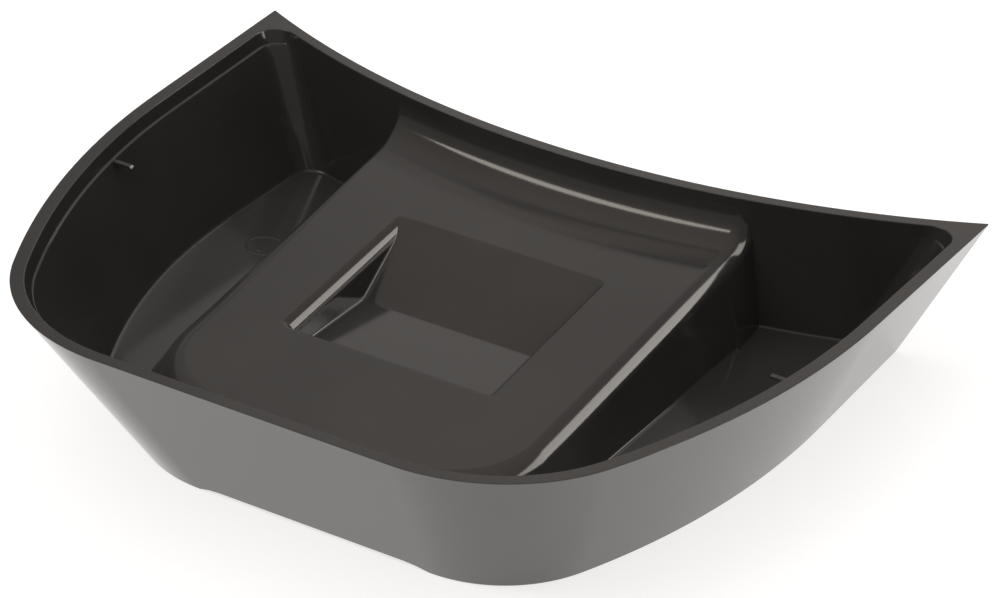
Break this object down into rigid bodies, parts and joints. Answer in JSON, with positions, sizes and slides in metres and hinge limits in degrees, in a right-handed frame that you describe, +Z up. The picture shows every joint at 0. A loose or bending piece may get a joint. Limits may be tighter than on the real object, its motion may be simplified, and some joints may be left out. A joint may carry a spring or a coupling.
{
  "type": "crescent-backed prospecting tray",
  "caption": "Small rigid tray with a concave rear wall between two pointed horns, two bays sloping up to the front and a raised platform with a square recess.",
  "frame": {"origin": "centre of the tray's bounding box in plan, at the bottom edge of its walls", "axes": "+X to the right along the longest side, seen from the straight front; +Y from the straight front towards the concave rear wall; +Z up"},
  "size_m": [0.18, 0.15, 0.0452],
  "materials": {
    "tray_plastic": "semi-gloss moulded charcoal plastic, fine grain, slightly scuffed"
  },
  "bodies": {
    "root": {"front_wall": "tray_plastic", "left_wall": "tray_plastic", "right_wall": "tray_plastic", "rear_wall": "tray_plastic", "left_bay_floor": "tray_plastic", "right_bay_floor": "tray_plastic", "front_channel_floor": "tray_plastic", "platform_deck": "tray_plastic", "platform_rear_cove": "tray_plastic", "platform_left_riser": "tray_plastic", "platform_right_riser": "tray_plastic", "platform_front_riser": "tray_plastic", "recess_well": "tray_plastic", "left_stacking_rib": "tray_plastic", "right_stacking_rib": "tray_plastic"}
  },
  "joints": []
}
